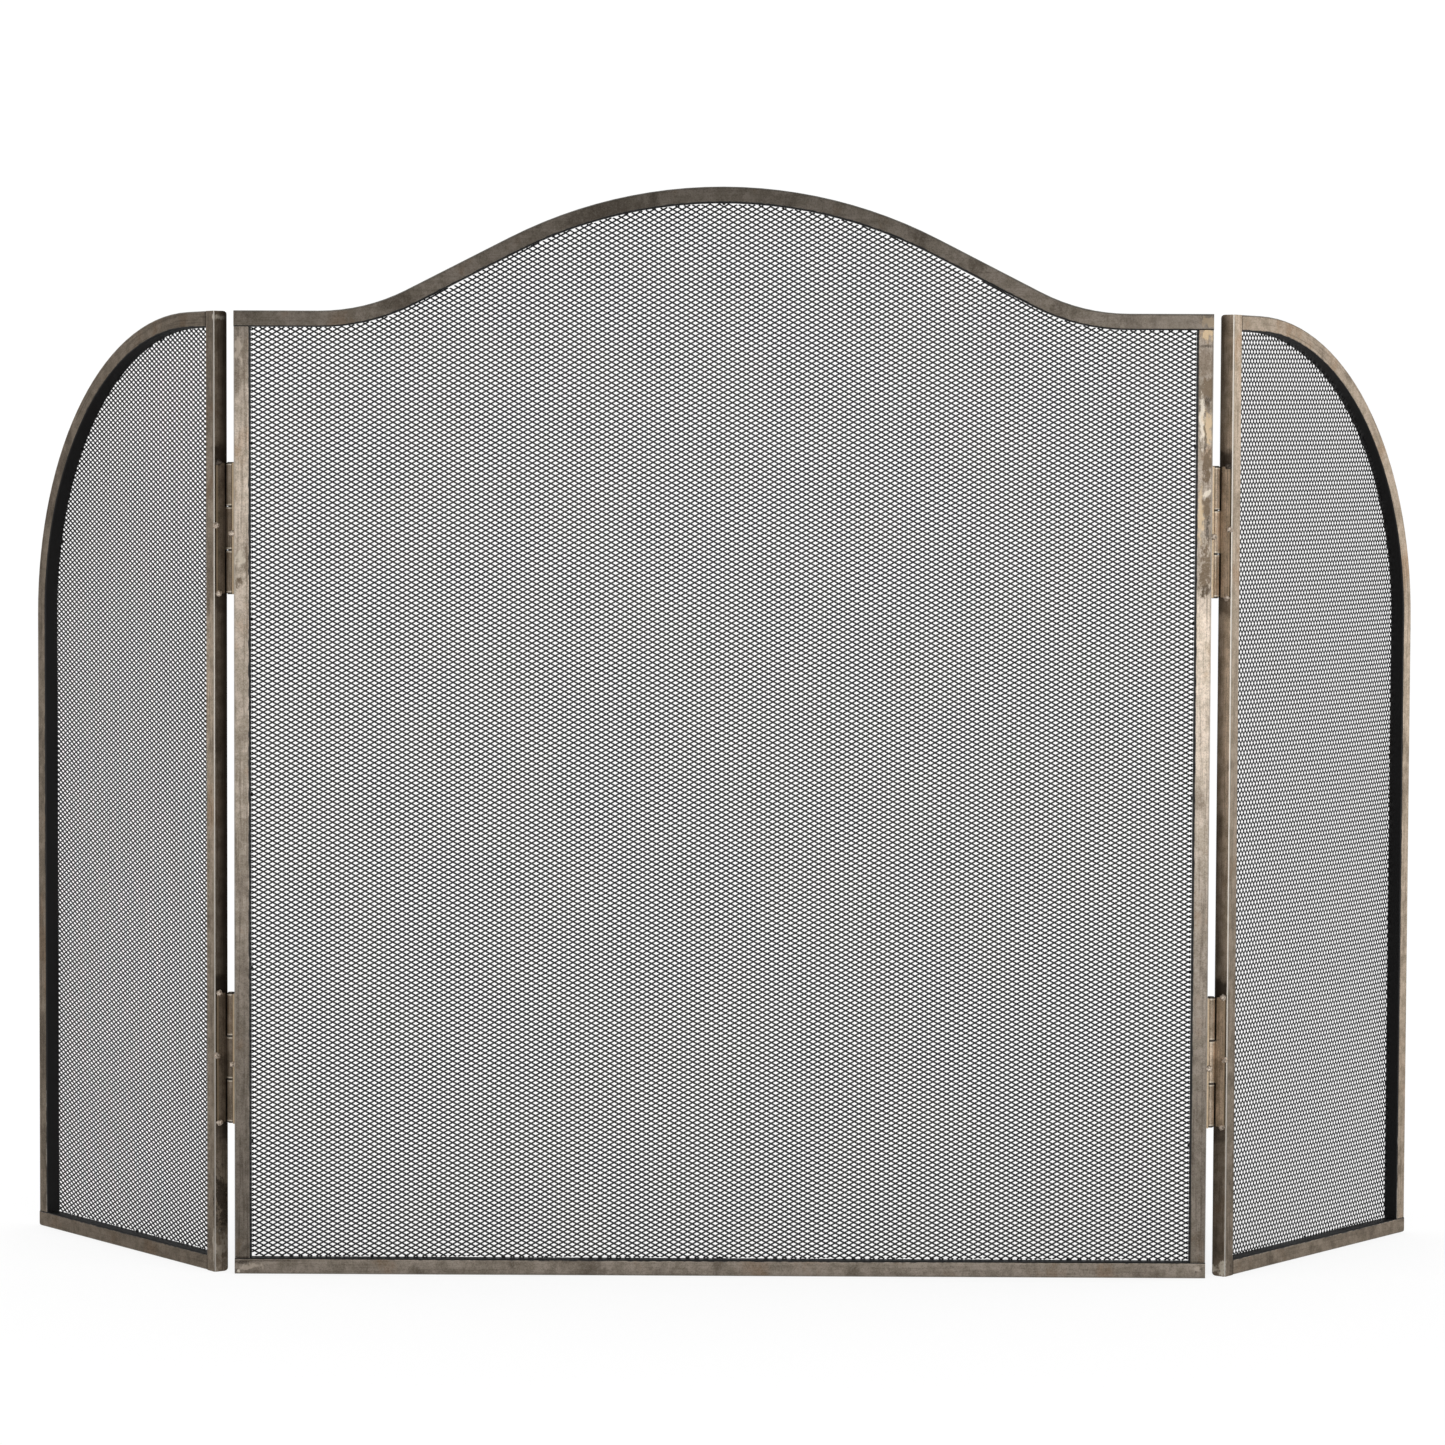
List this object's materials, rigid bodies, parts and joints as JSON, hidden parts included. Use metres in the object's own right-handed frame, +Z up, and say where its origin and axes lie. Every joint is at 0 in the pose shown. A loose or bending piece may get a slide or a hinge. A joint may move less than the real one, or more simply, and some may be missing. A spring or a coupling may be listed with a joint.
{
  "type": "folding fireplace screen",
  "caption": "Folding fireplace screen: a crowned centre panel with a narrow wing hinged to each side, in welded square tube filled with black expanded metal mesh.",
  "frame": {"origin": "middle of the underside of the centre panel's bottom rail, halfway through the depth of its tube", "axes": "+Z up; +X along the centre panel, to the right as seen from the front; -Y out of the front, so the wings fold back towards +Y"},
  "size_m": [0.916, 0.1937, 0.684],
  "materials": {
    "burnished_frame": "antique brass plate burnished by hand, satin, with darker patches and black inner faces",
    "hinge_steel": "the same antique plate, darker and less worn",
    "weld_metal": "plated weld beads, lightly burnished",
    "black_mesh": "black enamel, satin"
  },
  "bodies": {
    "centre_panel": {"centre_top_rail": "burnished_frame", "centre_left_stile": "burnished_frame", "centre_right_stile": "burnished_frame", "centre_bottom_rail": "burnished_frame", "centre_mesh": "black_mesh", "centre_mesh_welds": "black_mesh", "upper_left_hinge_centre_leaf": "hinge_steel", "lower_left_hinge_centre_leaf": "hinge_steel", "upper_right_hinge_centre_leaf": "hinge_steel", "lower_right_hinge_centre_leaf": "hinge_steel", "upper_left_hinge_pin": "hinge_steel", "lower_left_hinge_pin": "hinge_steel", "upper_right_hinge_pin": "hinge_steel", "lower_right_hinge_pin": "hinge_steel", "centre_leaf_welds": "weld_metal"},
    "left_wing": {"left_arch_rail": "burnished_frame", "left_hinge_stile": "burnished_frame", "left_bottom_rail": "burnished_frame", "left_mesh": "black_mesh", "left_mesh_welds": "black_mesh", "upper_left_hinge_wing_leaf": "hinge_steel", "lower_left_hinge_wing_leaf": "hinge_steel", "left_leaf_welds": "weld_metal"},
    "right_wing": {"right_arch_rail": "burnished_frame", "right_hinge_stile": "burnished_frame", "right_bottom_rail": "burnished_frame", "right_mesh": "black_mesh", "right_mesh_welds": "black_mesh", "upper_right_hinge_wing_leaf": "hinge_steel", "lower_right_hinge_wing_leaf": "hinge_steel", "right_leaf_welds": "weld_metal"}
  },
  "joints": [
    {"name": "left_wing_fold", "type": "hinge", "parent": "centre_panel", "child": "left_wing", "pos_m": [-0.309, 0.0055, 0], "axis": [0, 0, -1], "range_deg": [-52.5, 127.5]},
    {"name": "right_wing_fold", "type": "hinge", "parent": "centre_panel", "child": "right_wing", "pos_m": [0.309, 0.0055, 0], "axis": [0, 0, 1], "range_deg": [-52.5, 127.5]}
  ]
}
